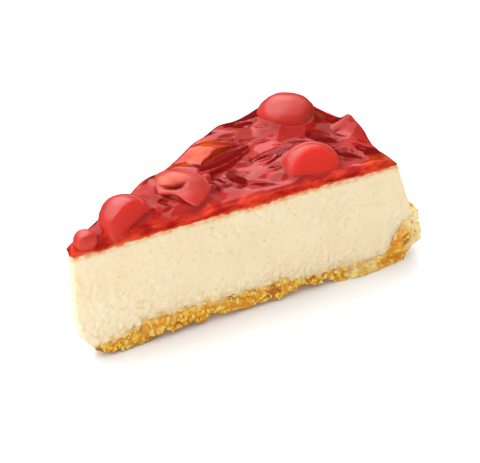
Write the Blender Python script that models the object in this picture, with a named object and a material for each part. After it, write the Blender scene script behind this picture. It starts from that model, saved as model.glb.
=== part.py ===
"""A slice of cherry cheesecake, lying on its crust with its tip towards -X.

The crumb crust turns up into a raised rim, the baked filling stands on it, and a
layer of cherry glaze holds five cherries on top. All sizes are in millimetres and
turn into metres where a mesh is made. A place in the slice is given by its distance
from the middle of the whole cake and by how far it lies across the slice, from -1
at the near cut to +1 at the far cut.
"""

import math

import bmesh
import bpy
from mathutils import Matrix, Vector, noise

MM = 0.001
GAP = 0.3

# Plan: the slice's two cuts meet behind its blunt tip, at the middle of the cake
CAKE_CENTRE_X = -68.5
HALF_ANGLE = math.radians(13.4)
TIP_RADIUS = 5.0
TIP_ROUNDING = 0.8
TOP_RADIUS = 120.0
HALF_WIDTH = TOP_RADIUS * math.sin(HALF_ANGLE)
TOP_EDGE_DROP = 0.9
TOP_EDGE_WIDTH = 3.5

# Crust: distance from the cake's middle and height of its top, then of its outside
CRUST_TOP = [(10.3, 5.0), (17, 6.3), (27, 9.2), (36, 10.0), (53, 8.8), (67, 8.0), (76, 8.6),
             (86, 6.6), (100, 5.8), (112, 5.2), (118, 6.8), (121, 13.2), (127.7, 18.6),
             (130.4, 19.6)]
CRUST_OUTSIDE = [(0.0, 125.8), (5.0, 128.2), (7.5, 131.8), (12.0, 131.9), (15.5, 130.6),
                 (19.6, 130.4)]
CRUST_TIP_FOOT = [(10.3, 4.3), (13.5, 1.9), (16.5, 0.0), (20.0, 0.0)]
CRUST_WAVE = 0.4
CRUST_WAVE_SIZE = 9.0

# How far the crust's lower edge has crumbled away along the near cut, how far in that reaches,
# and the crust's bulge there
NEAR_FOOT = [(10.3, 0.0), (13, 0.2), (16, 1.0), (18.5, 1.6), (22.5, 0.9), (31, 1.3), (34, 3.3),
             (39, 1.8), (45, 3.3), (47, 1.4), (51.5, 3.7), (56, 2.6), (59.5, 2.6), (63.5, 0.9),
             (67.5, 1.9), (71.5, 1.9), (75.5, 0.7), (79, 2.1), (82, 2.2), (84.5, 3.6),
             (91, 1.5), (93.8, 2.9), (98, 0.5), (100, 0.0), (120, 0.0)]
NEAR_FOOT_REACH = 6.0
BULGE_RADIUS = 109.0
BULGE_LENGTH = 8.0
BULGE_TOP = 6.0
BULGE_OUT = 1.5
CRUMB_SIZE = 4.5
CRUMB_DEPTH = 0.7
RAGGED_EDGE = 1.5
RAGGED_EDGE_SIZE = 5.0
TIP_EDGE_END = 13.0

# How sharply the shape of the tip and of the wall dies away along the slice
OUTSIDE_FADE = 14
WALL_FADE = 6
TIP_FADE = 6

# Filling: its foot lies inside the rim, and its wall leans in towards the top
FILLING_FOOT_TIP = 10.3
FILLING_FOOT_WALL = 127.7
FILLING_TOP = [(5, 42.2), (14, 41.6), (38, 42.3), (58, 41.6), (70, 41.3), (80, 41.8),
               (94, 41.7), (106, 41.2), (117, 41.2), (128, 41.2)]
FILLING_TIP = [(0.0, FILLING_FOOT_TIP), (0.12, 7.0), (0.3, 5.6), (0.45, TIP_RADIUS),
               (1.0, TIP_RADIUS)]
FILLING_WAVE = 0.25
FILLING_WAVE_SIZE = 14.0

# Glaze: its level along the near cut and the far cut, its edge on the rim, its mounds
GLAZE_NEAR = [(5, 44.6), (15, 45.4), (31, 44.2), (50, 44.6), (64, 45.2), (80, 44.5),
              (96, 44.5), (112, 44.5), (120, 43.2)]
GLAZE_FAR = [(5, 44.8), (20, 46.2), (38, 46.6), (60, 47.6), (80, 47.8), (96, 46.2),
             (120, 44.6)]
GLAZE_RIM = [(-1.0, 43.3), (-0.85, 43.3), (-0.66, 42.5), (-0.52, 43.0), (-0.36, 46.4),
             (-0.22, 47.8), (-0.1, 48.8), (0.02, 46.0), (0.12, 45.2), (0.4, 45.0),
             (0.75, 45.8), (1.0, 45.2)]
GLAZE_RIM_WIDTH = 9.0
GLAZE_EDGE_RADIUS = 118.4
GLAZE_MOUNDS = [(-28.5, 8.0, 2.8, 7.5), (-2.5, 13.0, 2.4, 9.0), (11.5, 16.5, 2.2, 8.0),
                (-6.0, 4.0, 1.0, 8.0), (47.0, 12.0, 1.2, 7.0),
                (-37.5, -5.0, 1.8, 4.5), (31.5, 10.5, 3.2, 10.0), (-46.5, -5.0, 0.9, 4.5)]
GLAZE_CROWN = 0.4
GLAZE_WAVE = 0.5
GLAZE_WAVE_SIZE = 9.0
GLAZE_BELLY = 0.5
MENISCUS_HEIGHT = 2.0
MENISCUS_REACH = 3.0
LARGE_CHERRY = 9.0

# Stations of the three layers, so that faces that meet are split alike
LONG_STEPS = 36
RIM_STEPS = 6
RIM_START = 115.0
CROSS_STEPS = 10

# Cherries: name, middle, half sizes, turn about Z, way that the pit hole looks, its depth
CHERRIES = [
    ("cherry_tip", (-58.2, -0.9, 45.9), (3.6, 3.6, 3.3), 0, (-0.6, -0.7, 0.2), 0.05),
    ("cherry_left", (-44.1, -1.9, 47.2), (8.4, 8.1, 8.1), 0, (-0.9, 0.1, -0.2), 0.05),
    ("cherry_mid", (-21.2, 0.8, 46.3), (10.2, 8.4, 6.5), -45, (0.09, -0.67, 0.73), 0.16),
    ("cherry_back", (33.0, 10.4, 48.6), (10.2, 8.6, 7.5), -40, (0.9, -0.3, 0.1), 0.15),
    ("cherry_right", (21.3, -14.0, 45.2), (9.9, 8.2, 7.5), -14, (0.8, 0.5, 0.2), 0.08),
]
CHERRY_ROUND = 20
CHERRY_RINGS = 12
CHERRY_REST = 43.1
CHERRY_OVERHANG = 0.8
CHERRY_SOFTNESS = 0.5
CHERRY_UNEVEN = 0.045
PIT_HOLE_WIDTH = 0.42

# Cherries that a knife went through: turn and rise of the way that the cut looks, its
# distance from the cherry's middle, and how softly its edge bends
CHERRY_KNIFE = {"cherry_left": (-85.0, 2.0, 2.9, 0.5), "cherry_right": (-108.0, 27.0, 4.9, 1.6)}

COLOURS = {"crust": (0.66, 0.34, 0.055), "filling": (0.88, 0.74, 0.49),
           "glaze": (0.62, 0.028, 0.02), "cherry": (0.68, 0.045, 0.03)}
ROUGHNESS = {"crust": 0.85, "filling": 0.55, "glaze": 0.08, "cherry": 0.15}


def curve(points, at):
    """Read a smooth curve that runs through a few (place, value) points."""
    if at <= points[0][0]:
        return points[0][1]
    if at >= points[-1][0]:
        return points[-1][1]
    slopes = []
    for k in range(len(points)):
        a = points[max(k - 1, 0)]
        b = points[min(k + 1, len(points) - 1)]
        slopes.append((b[1] - a[1]) / (b[0] - a[0]))
    k = max(i for i in range(len(points) - 1) if points[i][0] <= at)
    step = points[k + 1][0] - points[k][0]
    t = (at - points[k][0]) / step
    start = points[k][1] * (1 + 2 * t) * (1 - t) ** 2
    end = points[k + 1][1] * t * t * (3 - 2 * t)
    bend = step * t * (1 - t) * (slopes[k] * (1 - t) - slopes[k + 1] * t)
    return start + end + bend


def rough(x, y, z, size):
    """Smooth unevenness between about -1 and 1, with bumps of the given size."""
    return noise.noise(Vector((x, y, z)) / size)


def spot(radius, across, height, out=0.0):
    """Turn a place in the slice into a point; out is how far it stands off the cut."""
    angle = across * HALF_ANGLE
    side = math.copysign(1.0, across) if across else 0.0
    x = CAKE_CENTRE_X + radius * math.cos(angle) - side * out * math.sin(angle)
    y = radius * math.sin(angle) + side * out * math.cos(angle)
    return Vector((x, y, height))


def way_of(turn, rise):
    """Unit direction with that turn from +X and that rise, in degrees."""
    turn, rise = math.radians(turn), math.radians(rise)
    return Vector((math.cos(turn) * math.cos(rise), math.sin(turn) * math.cos(rise),
                   math.sin(rise)))


def stations():
    """Distances from the cake's middle at which the layers are cut up."""
    long_part = [FILLING_FOOT_TIP + (RIM_START - FILLING_FOOT_TIP) * k / LONG_STEPS
                 for k in range(LONG_STEPS)]
    rim_part = [RIM_START + (FILLING_FOOT_WALL - RIM_START) * k / RIM_STEPS
                for k in range(RIM_STEPS + 1)]
    return long_part + rim_part


def crust_top(radius, across):
    """Height of the crust where the filling meets it."""
    wave = rough(radius, HALF_WIDTH * across, 3.0, CRUST_WAVE_SIZE)
    return curve(CRUST_TOP, radius) + CRUST_WAVE * wave


def crust_point(radii, i, across, rise):
    """A point of the crust: station i, place across, and rise from foot to top."""
    radius = radii[i]
    foot = max(0.0, curve(CRUST_TIP_FOOT, radius))
    height = foot + (crust_top(radius, across) - foot) * rise
    share = (radius / radii[-1]) ** OUTSIDE_FADE
    radius += (curve(CRUST_OUTSIDE, height) - radii[-1]) * share
    edge = abs(across) == 1.0
    to_cut = (1 + across) * HALF_ANGLE * radius
    reach = 1 - ramp(to_cut, 0.5, NEAR_FOOT_REACH)
    height += max(0.0, curve(NEAR_FOOT, radius)) * reach * (1 - rise) ** 2
    if across == 1.0:
        tear = rough(radius, HALF_WIDTH * across, 0.0, RAGGED_EDGE_SIZE)
        behind_tip = ramp(radius, TIP_EDGE_END, RAGGED_EDGE_SIZE)
        height += RAGGED_EDGE * max(0.0, tear) * behind_tip * (1 - rise) ** 2
    relief = CRUMB_DEPTH * rough(radius, HALF_WIDTH * across, height, CRUMB_SIZE)
    if across == -1.0:
        length = (radius - BULGE_RADIUS) / BULGE_LENGTH
        relief += BULGE_OUT * math.exp(-length ** 4) * (1 - ramp(height, 0.0, BULGE_TOP))
    if i == len(radii) - 1:
        radius += relief
    return spot(radius, across, height, relief if edge else 0.0)


def filling_radius(radius, share, across, rise, top_radius=TOP_RADIUS):
    """Distance from the cake's middle, leaning in at the wall and out at the tip."""
    near_tip = (1 - share) ** TIP_FADE
    tip = curve(FILLING_TIP, rise) - FILLING_FOOT_TIP
    wall = (top_radius - FILLING_FOOT_WALL) * rise
    rounding = TIP_ROUNDING * abs(across) ** 3 * rise
    return radius + (tip + rounding) * near_tip + wall * share ** WALL_FADE


def ramp(value, start, width):
    """Rise smoothly from 0 to 1 over the width that begins at start."""
    t = min(max((value - start) / width, 0.0), 1.0)
    return t * t * (3 - 2 * t)


def filling_top(radius, across):
    """Height of the baked filling under the glaze, with its edge rounded at the rim."""
    edge = ramp(radius, TOP_RADIUS - TOP_EDGE_WIDTH, TOP_EDGE_WIDTH)
    wave = rough(radius, HALF_WIDTH * across, 7.0, FILLING_WAVE_SIZE)
    return curve(FILLING_TOP, radius) + FILLING_WAVE * wave - TOP_EDGE_DROP * edge


def filling_point(radii, i, across, rise):
    """A point of the filling: station i, place across, and rise from foot to top."""
    share = i / (len(radii) - 1)
    radius = filling_radius(radii[i], share, across, rise)
    foot = crust_top(radii[i], across) + GAP
    height = foot + (filling_top(radius, across) - foot) * rise
    return spot(radius, across, height)


def meniscus(x, y):
    """How far the glaze climbs at the cherries."""
    climb = 0.0
    for name, middle, half, turn, look, depth in CHERRIES:
        away = math.hypot(x - middle[0], y - middle[1]) - 0.5 * (half[0] + half[1])
        climb = max(climb, math.exp(-max(away, 0.0) / MENISCUS_REACH) * half[0] / LARGE_CHERRY)
    return MENISCUS_HEIGHT * climb


def glaze_top(radius, across):
    """Height of the glaze: its cut edges, rim, mounds and climb at the cherries."""
    x, y, _ = spot(radius, across, 0.0)
    mix = 0.5 + 0.5 * across
    level = curve(GLAZE_NEAR, radius) * (1 - mix) + curve(GLAZE_FAR, radius) * mix
    level += GLAZE_CROWN * (1 - across * across)
    for mound_x, mound_y, height, reach in GLAZE_MOUNDS:
        level += height * math.exp(-((x - mound_x) ** 2 + (y - mound_y) ** 2) / reach ** 2)
    level += meniscus(x, y) * (1 - abs(across) ** 4)
    level += GLAZE_WAVE * rough(x, 1.6 * y, 0.0, GLAZE_WAVE_SIZE)
    to_rim = ramp(radius, GLAZE_EDGE_RADIUS - GLAZE_RIM_WIDTH, GLAZE_RIM_WIDTH)
    return level + (curve(GLAZE_RIM, across) - level) * to_rim


def glaze_point(radii, i, across, rise):
    """A point of the glaze: station i, place across, and rise from foot to top."""
    share = i / (len(radii) - 1)
    radius = filling_radius(radii[i], share, across, 1.0, GLAZE_EDGE_RADIUS)
    foot = filling_top(radius, across) + GAP
    height = foot + (glaze_top(radius, across) - foot) * rise
    belly = GLAZE_BELLY * math.sin(math.pi * rise) if abs(across) == 1.0 else 0.0
    return spot(radius, across, height, belly)


def block(name, place, radii, rises):
    """A closed block of quads whose points come from place(radii, i, across, rise)."""
    last_i = len(radii) - 1
    last_k = len(rises) - 1
    mesh = bmesh.new()
    made = {}

    def corner(i, j, k):
        if (i, j, k) not in made:
            across = 2 * j / CROSS_STEPS - 1
            made[i, j, k] = mesh.verts.new(place(radii, i, across, rises[k]) * MM)
        return made[i, j, k]

    def quad(*corners):
        mesh.faces.new([corner(*c) for c in corners])

    for i in range(last_i):
        for j in range(CROSS_STEPS):
            quad((i, j, 0), (i, j + 1, 0), (i + 1, j + 1, 0), (i + 1, j, 0))
            quad((i, j, last_k), (i + 1, j, last_k), (i + 1, j + 1, last_k), (i, j + 1, last_k))
        for k in range(last_k):
            far = CROSS_STEPS
            quad((i, 0, k), (i + 1, 0, k), (i + 1, 0, k + 1), (i, 0, k + 1))
            quad((i, far, k), (i, far, k + 1), (i + 1, far, k + 1), (i + 1, far, k))
    for j in range(CROSS_STEPS):
        for k in range(last_k):
            quad((0, j, k), (0, j, k + 1), (0, j + 1, k + 1), (0, j + 1, k))
            quad((last_i, j, k), (last_i, j + 1, k), (last_i, j + 1, k + 1), (last_i, j, k + 1))
    bmesh.ops.triangulate(mesh, faces=mesh.faces, quad_method="ALTERNATE")
    return finish_mesh(name, mesh)


def finish_mesh(name, mesh):
    """Turn a bmesh into an object of that name."""
    data = bpy.data.meshes.new(name)
    mesh.to_mesh(data)
    mesh.free()
    thing = bpy.data.objects.new(name, data)
    bpy.context.scene.collection.objects.link(thing)
    return thing


def ease_under(value, limit, softness):
    """Keep a value under a limit, with a soft bend where it comes near."""
    start = limit - softness
    if value <= start:
        return value
    return start + softness * (1 - math.exp((start - value) / softness))


def cherry_point(cherry, way, swell):
    """A point of a cherry in the direction way, swell standing off its skin."""
    name, middle, half, turn, look, depth = cherry
    pit = way.angle(Vector(look))
    skin = 1 - depth * math.exp(-(pit / PIT_HOLE_WIDTH) ** 2)
    skin += CHERRY_UNEVEN * noise.noise(way * 1.4 + Vector(middle))
    spread = Vector([way[k] * (half[k] * skin + swell) for k in range(3)])
    point = Matrix.Rotation(math.radians(turn), 3, "Z") @ spread + Vector(middle)
    near_cut = -90.0 - math.degrees(HALF_ANGLE)
    cake_centre = Vector((CAKE_CENTRE_X, 0.0, 0.0))
    planes = [(near_cut, 0.0, CHERRY_OVERHANG, CHERRY_SOFTNESS, cake_centre),
              (-near_cut, 0.0, CHERRY_OVERHANG, CHERRY_SOFTNESS, cake_centre)]
    if name in CHERRY_KNIFE:
        planes.append((*CHERRY_KNIFE[name], Vector(middle)))
    for facing, rise, limit, softness, origin in planes:
        normal = way_of(facing, rise)
        out = (point - origin).dot(normal)
        point += normal * (ease_under(out, limit + swell, softness) - out)
    point.z = -ease_under(-point.z, -CHERRY_REST + swell, CHERRY_SOFTNESS)
    return point


def cherry_body(name, cherry, swell=0.0):
    """A closed cherry of rings between two poles."""
    mesh = bmesh.new()
    rings = []
    for ring in range(1, CHERRY_RINGS):
        tilt = math.pi * ring / CHERRY_RINGS
        row = []
        for k in range(CHERRY_ROUND):
            around = 2 * math.pi * k / CHERRY_ROUND
            way = Vector((math.sin(tilt) * math.cos(around),
                          math.sin(tilt) * math.sin(around), math.cos(tilt)))
            row.append(mesh.verts.new(cherry_point(cherry, way, swell) * MM))
        rings.append(row)
    top = mesh.verts.new(cherry_point(cherry, Vector((0, 0, 1)), swell) * MM)
    foot = mesh.verts.new(cherry_point(cherry, Vector((0, 0, -1)), swell) * MM)
    for k in range(CHERRY_ROUND):
        after = (k + 1) % CHERRY_ROUND
        mesh.faces.new((top, rings[0][k], rings[0][after]))
        mesh.faces.new((foot, rings[-1][after], rings[-1][k]))
        for upper, lower in zip(rings, rings[1:]):
            mesh.faces.new((upper[k], lower[k], lower[after], upper[after]))
    bmesh.ops.triangulate(mesh, faces=mesh.faces)
    return finish_mesh(name, mesh)


def drop_folded_pairs(mesh):
    """Take away faces that lie back to back on the same three corners."""
    sharing = {}
    for face in mesh.faces:
        sharing.setdefault(frozenset(face.verts), []).append(face)
    folded = [face for faces in sharing.values() if len(faces) > 1 for face in faces]
    bmesh.ops.delete(mesh, geom=folded, context="FACES")


def press_into(glaze, cherries):
    """Cut the sockets that the cherries sit in out of the glaze."""
    for cherry in cherries:
        cutter = cherry_body("socket_" + cherry[0], cherry, GAP)
        cutter.hide_render = True
        cutter.display_type = "WIRE"
        cut = glaze.modifiers.new("socket_" + cherry[0], "BOOLEAN")
        cut.operation = "DIFFERENCE"
        cut.solver = "EXACT"
        cut.object = cutter
    bpy.context.view_layer.update()
    seen = glaze.evaluated_get(bpy.context.evaluated_depsgraph_get())
    mesh = bmesh.new()
    mesh.from_mesh(bpy.data.meshes.new_from_object(seen))
    bmesh.ops.dissolve_degenerate(mesh, edges=mesh.edges, dist=0.05 * MM)
    bmesh.ops.triangulate(mesh, faces=mesh.faces)
    drop_folded_pairs(mesh)
    glaze.modifiers.clear()
    mesh.to_mesh(glaze.data)
    mesh.free()
    for cherry in cherries:
        bpy.data.objects.remove(bpy.data.objects["socket_" + cherry[0]], do_unlink=True)


def material(name):
    """A plain material with the colour and gloss of one food."""
    made = bpy.data.materials.new(name)
    made.use_nodes = True
    shader = made.node_tree.nodes["Principled BSDF"]
    shader.inputs["Base Color"].default_value = (*COLOURS[name], 1.0)
    shader.inputs["Roughness"].default_value = ROUGHNESS[name]
    shader.inputs["Metallic"].default_value = 0.0
    return made


def build():
    """Clear the scene and make the crust, filling, glaze and cherries."""
    for old in list(bpy.data.objects):
        bpy.data.objects.remove(old, do_unlink=True)
    looks = {name: material(name) for name in COLOURS}
    radii = stations()
    ledge = [129.0, CRUST_TOP[-1][0]]
    crust = block("crust", crust_point, radii + ledge, [0.0, 0.25, 0.5, 0.75, 1.0])
    crust.data.materials.append(looks["crust"])
    filling = block("filling", filling_point, radii, [0.0, 0.12, 0.3, 0.5, 0.75, 1.0])
    filling.data.materials.append(looks["filling"])
    glaze = block("glaze", glaze_point, radii, [0.0, 0.5, 1.0])
    glaze.data.materials.append(looks["glaze"])
    press_into(glaze, CHERRIES)
    for cherry in CHERRIES:
        body = cherry_body(cherry[0], cherry)
        body.data.materials.append(looks["cherry"])
        body.data.shade_smooth()


build()
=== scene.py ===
"""Looks of a slice of cherry cheesecake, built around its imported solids.

Sizes are in millimetres and turn into metres where a mesh is made. A place in the
slice is given by its distance from the middle of the whole cake and by how far it
lies across the slice, from -1 at the near cut to +1 at the far cut. The layers use
the same named sizes as their solids, with the fine relief added.
"""

import math

import bpy
import numpy as np
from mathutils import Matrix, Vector, noise


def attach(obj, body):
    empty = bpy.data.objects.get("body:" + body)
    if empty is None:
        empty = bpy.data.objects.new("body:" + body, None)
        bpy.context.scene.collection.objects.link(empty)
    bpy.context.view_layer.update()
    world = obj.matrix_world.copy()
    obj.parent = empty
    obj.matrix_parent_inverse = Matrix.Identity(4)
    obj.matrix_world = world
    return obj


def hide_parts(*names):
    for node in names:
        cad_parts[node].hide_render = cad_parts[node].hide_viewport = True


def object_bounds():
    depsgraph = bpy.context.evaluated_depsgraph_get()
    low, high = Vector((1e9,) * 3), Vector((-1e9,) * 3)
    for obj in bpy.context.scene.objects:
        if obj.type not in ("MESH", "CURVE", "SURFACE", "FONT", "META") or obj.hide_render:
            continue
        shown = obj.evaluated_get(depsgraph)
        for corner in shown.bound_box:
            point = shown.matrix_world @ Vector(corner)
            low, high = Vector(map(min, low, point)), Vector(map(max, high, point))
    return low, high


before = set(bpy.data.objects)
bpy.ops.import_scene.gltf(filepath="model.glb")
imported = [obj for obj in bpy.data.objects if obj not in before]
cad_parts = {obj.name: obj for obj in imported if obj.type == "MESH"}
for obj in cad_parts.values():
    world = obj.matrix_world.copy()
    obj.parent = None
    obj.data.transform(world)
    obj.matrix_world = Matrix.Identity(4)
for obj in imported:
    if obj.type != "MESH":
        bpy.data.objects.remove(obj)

CAD_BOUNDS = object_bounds()
SEED = 11
MM = 0.001

# Plan: the slice's two cuts meet behind its blunt tip, at the middle of the cake
CAKE_CENTRE_X = -68.5
HALF_ANGLE = math.radians(13.4)
TIP_RADIUS = 5.0
TIP_ROUNDING = 0.8
TOP_RADIUS = 120.0
HALF_WIDTH = TOP_RADIUS * math.sin(HALF_ANGLE)
TOP_EDGE_DROP = 0.9
TOP_EDGE_WIDTH = 3.5

# Crust: distance from the cake's middle and height of its top, then of its outside
CRUST_TOP = [(10.3, 5.0), (17, 6.3), (27, 9.2), (36, 10.0), (53, 8.8), (67, 8.0), (76, 8.6),
             (86, 6.6), (100, 5.8), (112, 5.2), (118, 6.8), (121, 13.2), (127.7, 18.6),
             (130.4, 19.6)]
CRUST_OUTSIDE = [(0.0, 125.8), (5.0, 128.2), (7.5, 131.8), (12.0, 131.9), (15.5, 130.6),
                 (19.6, 130.4)]
CRUST_TIP_FOOT = [(10.3, 4.3), (13.5, 1.9), (16.5, 0.0), (20.0, 0.0)]
CRUST_WAVE = 0.4
CRUST_WAVE_SIZE = 9.0

# How far the crust's lower edge has crumbled away along the near cut, how far in that reaches,
# and the crust's bulge there
NEAR_FOOT = [(10.3, 0.0), (13, 0.2), (16, 1.0), (18.5, 1.6), (22.5, 0.9), (31, 1.3), (34, 3.3),
             (39, 1.8), (45, 3.3), (47, 1.4), (51.5, 3.7), (56, 2.6), (59.5, 2.6), (63.5, 0.9),
             (67.5, 1.9), (71.5, 1.9), (75.5, 0.7), (79, 2.1), (82, 2.2), (84.5, 3.6),
             (91, 1.5), (93.8, 2.9), (98, 0.5), (100, 0.0), (120, 0.0)]
NEAR_FOOT_REACH = 6.0
BULGE_RADIUS = 109.0
BULGE_LENGTH = 8.0
BULGE_TOP = 6.0
BULGE_OUT = 1.5

# How sharply the rim's outside, the filling's wall and its tip set in along the slice
OUTSIDE_FADE = 14
WALL_FADE = 6
TIP_FADE = 6

# Browner places of the crust, inside the rim and at its foot: middle, reach, strength
CRUST_SEAMS = [(120.8, 10.0, 2.4, 5.5, 1.0), (124.0, 1.6, 3.2, 2.2, 1.2)]

# Relief of the crust: size and height of its coarse crumb, its fine crumb and its clumps
COARSE_CRUMB = 2.9
COARSE_HEIGHT = 1.2
FINE_CRUMB = 1.25
FINE_HEIGHT = 0.4
CLUMP_SIZE = 4.5
CLUMP_HEIGHT = 0.7

# Crumbs on the crust: how many, radius of the smallest and how much larger they get, the
# share of them on the rim's outside, and the points around each and its rings
CRUMB_COUNT = 1700
CRUMB_SMALLEST = 0.22
CRUMB_SPREAD = 0.5
CRUMBS_OUTSIDE = 0.22
CRUMB_RINGS = (7, 5)

# Filling: its foot lies inside the rim, and its wall leans in towards the top
FILLING_FOOT_TIP = 10.3
FILLING_FOOT_WALL = 127.7
FILLING_TOP = [(5, 42.2), (14, 41.6), (38, 42.3), (58, 41.6), (70, 41.3), (80, 41.8),
               (94, 41.7), (106, 41.2), (117, 41.2), (128, 41.2)]
FILLING_TIP = [(0.0, FILLING_FOOT_TIP), (0.12, 7.0), (0.3, 5.6), (0.45, TIP_RADIUS),
               (1.0, TIP_RADIUS)]
FILLING_WAVE = 0.25
FILLING_WAVE_SIZE = 14.0
PORE_DEPTH = 0.3
PORE_SPACING = 3.1

# Glaze: its level along the near cut and the far cut, its edge on the rim, its mounds
GLAZE_NEAR = [(5, 44.6), (15, 45.4), (31, 44.2), (50, 44.6), (64, 45.2), (80, 44.5),
              (96, 44.5), (112, 44.5), (120, 43.2)]
GLAZE_FAR = [(5, 44.8), (20, 46.2), (38, 46.6), (60, 47.6), (80, 47.8), (96, 46.2),
             (120, 44.6)]
GLAZE_RIM = [(-1.0, 43.3), (-0.85, 43.3), (-0.66, 42.5), (-0.52, 43.0), (-0.36, 46.4),
             (-0.22, 47.8), (-0.1, 48.8), (0.02, 46.0), (0.12, 45.2), (0.4, 45.0),
             (0.75, 45.8), (1.0, 45.2)]
GLAZE_RIM_WIDTH = 9.0
GLAZE_EDGE_RADIUS = 118.4
GLAZE_MOUNDS = [(-28.5, 8.0, 2.8, 7.5), (-2.5, 13.0, 2.4, 9.0), (11.5, 16.5, 2.2, 8.0),
                (-6.0, 4.0, 1.0, 8.0), (47.0, 12.0, 1.2, 7.0),
                (-37.5, -5.0, 1.8, 4.5), (31.5, 10.5, 3.2, 10.0), (-46.5, -5.0, 0.9, 4.5)]
GLAZE_CROWN = 0.4
GLAZE_WAVE = 0.5
GLAZE_WAVE_SIZE = 9.0
GLAZE_BELLY = 0.5
MENISCUS_HEIGHT = 2.0
MENISCUS_REACH = 3.0
LARGE_CHERRY = 9.0

# Cherries: name, middle, half sizes, turn about Z, way that the pit hole looks, its depth
CHERRIES = [
    ("cherry_tip", (-58.2, -0.9, 45.9), (3.6, 3.6, 3.3), 0, (-0.6, -0.7, 0.2), 0.05),
    ("cherry_left", (-44.1, -1.9, 47.2), (8.4, 8.1, 8.1), 0, (-0.9, 0.1, -0.2), 0.05),
    ("cherry_mid", (-21.2, 0.8, 46.3), (10.2, 8.4, 6.5), -45, (0.09, -0.67, 0.73), 0.16),
    ("cherry_back", (33.0, 10.4, 48.6), (10.2, 8.6, 7.5), -40, (0.9, -0.3, 0.1), 0.15),
    ("cherry_right", (21.3, -14.0, 45.2), (9.9, 8.2, 7.5), -14, (0.8, 0.5, 0.2), 0.08),
]

# Height of the cherries' flat feet, how far they may stand out of the cuts, how softly both
# bend, their unevenness, the pit hole's width, and the points around each and its rings
CHERRY_REST = 43.1
CHERRY_OVERHANG = 0.8
CHERRY_SOFTNESS = 0.5
CHERRY_UNEVEN = 0.045
PIT_HOLE_WIDTH = 0.42
CHERRY_RINGS = (180, 120)

# Cherries that a knife went through: turn and rise of the way that the cut looks, its
# distance from the cherry's middle, and how softly its edge bends
CHERRY_KNIFE = {"cherry_left": (-85.0, 2.0, 2.9, 0.5), "cherry_right": (-108.0, 27.0, 4.9, 1.6)}

# Torn hole of the middle cherry: the ways that it runs along, opens towards and looks
MOUTH_ALONG = (0.912, 0.410, 0.0)
MOUTH_UP = (-0.293, 0.650, 0.701)
MOUTH_LOOK = (0.288, -0.640, 0.713)
MOUTH_HOLE = (-0.30, 0.15)
MOUTH_HOLE_REACH = (0.36, 0.085)
MOUTH_HOLE_DEPTH = 0.18
MOUTH_HOLLOW_DEPTH = 0.13
MOUTH_LIP_HEIGHT = 0.04
MOUTH_LIP_WIDTH = 0.10
MOUTH_LIP = [(-1.0, -0.05), (-0.6, -0.10), (-0.35, -0.22), (-0.12, -0.48), (0.15, -0.72),
             (0.4, -0.92), (1.0, -1.5)]

# Painted highlight lines on the cherries run around the way towards the camera: cherry, way of the
# line's middle, its angle from the camera's way and how far it reaches, in degrees
HIGHLIGHT_AROUND = (-0.53, -0.62, 0.58)
HIGHLIGHT_WIDTH = 0.036
HIGHLIGHT_LINES = [("cherry_right", (0.33, 0.28, 0.81), 71, 55),
              ("cherry_mid", (0.81, -0.22, 0.52), 71, 46),
              ("cherry_left", (0.69, -0.03, 0.70), 72, 22)]

# Where light comes through a cherry: its name, the way that this side looks, its reach
CHERRY_GLOWS = [("cherry_tip", (-0.6, -0.7, 0.2), 0.5),
                ("cherry_mid", (-0.30, -0.25, 0.89), 0.6),
                ("cherry_mid", (0.98, -0.15, 0.05), 0.35),
                ("cherry_back", (0.93, -0.35, 0.0), 0.5),
                ("cherry_right", (0.75, -0.65, 0.1), 0.35)]

# Folds of the gel, where it leans away to the far side: where each begins and ends, its width
GLAZE_FOLDS = [
    (-12.8, 1.1, 12.5, 6.1, 6.4),
    (6.3, -1.5, 23.0, -2.3, 3.2),
    (14.7, 16.4, 22.4, 13.8, 4.0),
    (30.2, -2.0, 39.9, -9.3, 6.6),
    (30.2, -11.7, 38.7, -21.1, 5.8),
    (40.4, -5.3, 45.8, -8.3, 5.0),
    (-1.2, -2.0, -5.1, -10.3, 6.0),
    (-9.5, -1.0, -7.5, -7.0, 3.0),
    (8.5, -7.4, 12.8, -10.1, 3.0),
    (10.5, 8.6, 22.3, 3.9, 1.5),
    (2.0, 11.9, 10.0, 10.5, 1.9),
    (47.8, 9.4, 47.6, 2.0, 5.0),
    (20.0, 12.0, 22.6, 7.1, 1.8),
    (21.1, -0.3, 29.1, -4.7, 1.6),
    (-31.8, -1.6, -28.3, -5.7, 2.3),
    (-48.5, -5.2, -41.8, -5.9, 1.3),
    (-35.5, 4.5, -32.5, 0.5, 3.0),
]

# How steeply folds lean to the far side, how far they may tilt sideways, the width of the
# bank around them, and the ways in plan to the camera's right and away from the camera
FOLD_LEAN = 0.17
FOLD_TILT = 0.2
FOLD_BANK = 0.5
CAMERA_SIDE = (0.757, -0.653)
FAR_SIDE = (0.65, 0.76)

# Creases of the gel: height, stretch along the slice, layer of the pattern, size, and how
# far the gel sinks for them
GLAZE_CREASES = [(0.7, 0.4, 8.0, 6.5, 0.17), (0.08, 0.5, 3.0, 2.8, 0.02)]

# Small lumps of gel: middle, height, reach
GLAZE_LUMPS = [(-50.9, -2.6, 1.3, 1.7), (-47.0, -4.3, 0.8, 2.6), (-7.7, -5.6, 0.9, 1.8),
               (-12.3, -6.0, 0.8, 1.6), (-10.5, -1.5, 0.8, 1.5), (-16.5, -10.0, 0.6, 2.2),
               (8.5, -12.5, 0.6, 2.5), (-29.5, -7.5, 0.6, 2.0)]

# Painted orange glow in the gel, standing in for light coming through it: middle, reach, strength
GLAZE_GLOWS = [(-8.0, 10.5, 13.0, 4.5, 1.0), (43.0, -24.5, 7.0, 3.5, 0.5),
               (43.0, 7.5, 3.5, 4.0, 0.7), (-27.0, 10.0, 4.0, 3.0, 0.4)]

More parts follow.
